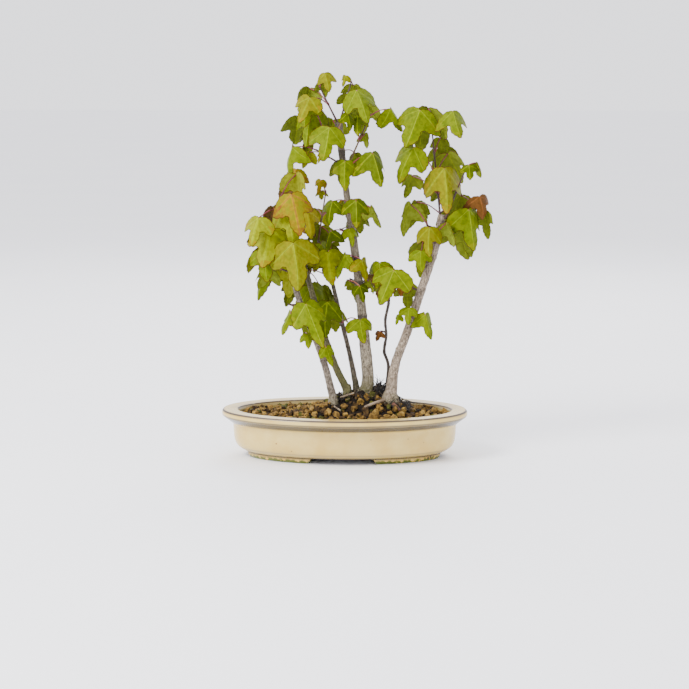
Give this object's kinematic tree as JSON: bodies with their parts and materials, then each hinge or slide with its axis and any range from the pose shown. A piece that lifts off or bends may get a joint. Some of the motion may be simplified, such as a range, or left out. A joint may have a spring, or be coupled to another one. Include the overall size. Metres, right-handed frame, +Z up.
{
  "type": "trident maple bonsai clump in a pot",
  "caption": "Small trident maple clump with leaning slender trunks and sprays of three-lobed leaves, standing in a low oval glazed pot filled with granular soil.",
  "frame": {"origin": "centre of the whole plant's box in X and Y, at the level that the pot's feet stand on", "axes": "+Z up along the trunks, +X along the pot's length to the right of the picture, -Y towards the viewer of the picture"},
  "size_m": [0.2396, 0.136, 0.3408],
  "materials": {
    "glaze": "cream glaze, glossy, with an iron-brown line along the lip",
    "soil": "ochre and brown baked clay granules, dull",
    "bark": "grey-brown young bark, dull",
    "twig": "dry dark twig, dull",
    "root": "bare surface root, dull",
    "leaf": "thin living leaf, satin"
  },
  "bodies": {
    "root": {"pot": "glaze", "pot_foot_front_left": "glaze", "pot_foot_back_left": "glaze", "pot_foot_front_right": "glaze", "pot_foot_back_right": "glaze", "soil": "soil", "trunk_main": "bark", "trunk_left_front": "bark", "trunk_left_back": "bark", "trunk_middle": "bark", "trunk_right": "bark", "dry_twig": "twig", "root_front": "root", "root_right": "root", "root_left": "root", "root_middle": "root", "leaves_top_left": "leaf", "leaves_top_right": "leaf", "leaves_crest_left": "leaf", "leaves_crest_right": "leaf", "leaves_upper_front": "leaf", "leaves_upper_left": "leaf", "leaves_upper_back": "leaf", "leaves_middle_front": "leaf", "leaves_middle_back": "leaf", "leaves_node_front": "leaf", "leaves_node_back": "leaf", "leaves_node_left": "leaf", "leaves_node_low": "leaf", "leaves_node_foot": "leaf", "leaves_outer_mid": "leaf", "leaves_centre_mid": "leaf", "leaves_outer_top": "leaf", "leaves_outer_side": "leaf", "leaves_outer_low": "leaf", "leaves_outer_foot": "leaf", "leaves_inner_top": "leaf", "leaves_inner_mid": "leaf", "leaves_inner_back": "leaf", "leaves_inner_low": "leaf", "leaves_inner_foot": "leaf", "leaves_centre_top": "leaf", "leaves_centre_back": "leaf", "leaves_centre_low": "leaf", "leaves_crest": "leaf", "leaves_crest_side": "leaf", "leaves_right_left": "leaf", "leaves_crest_back": "leaf", "leaves_right_front": "leaf", "leaves_right_back": "leaf", "leaves_right_inner": "leaf", "leaves_right_low": "leaf", "leaves_right_foot": "leaf", "leaves_twig_top": "leaf"}
  },
  "joints": []
}
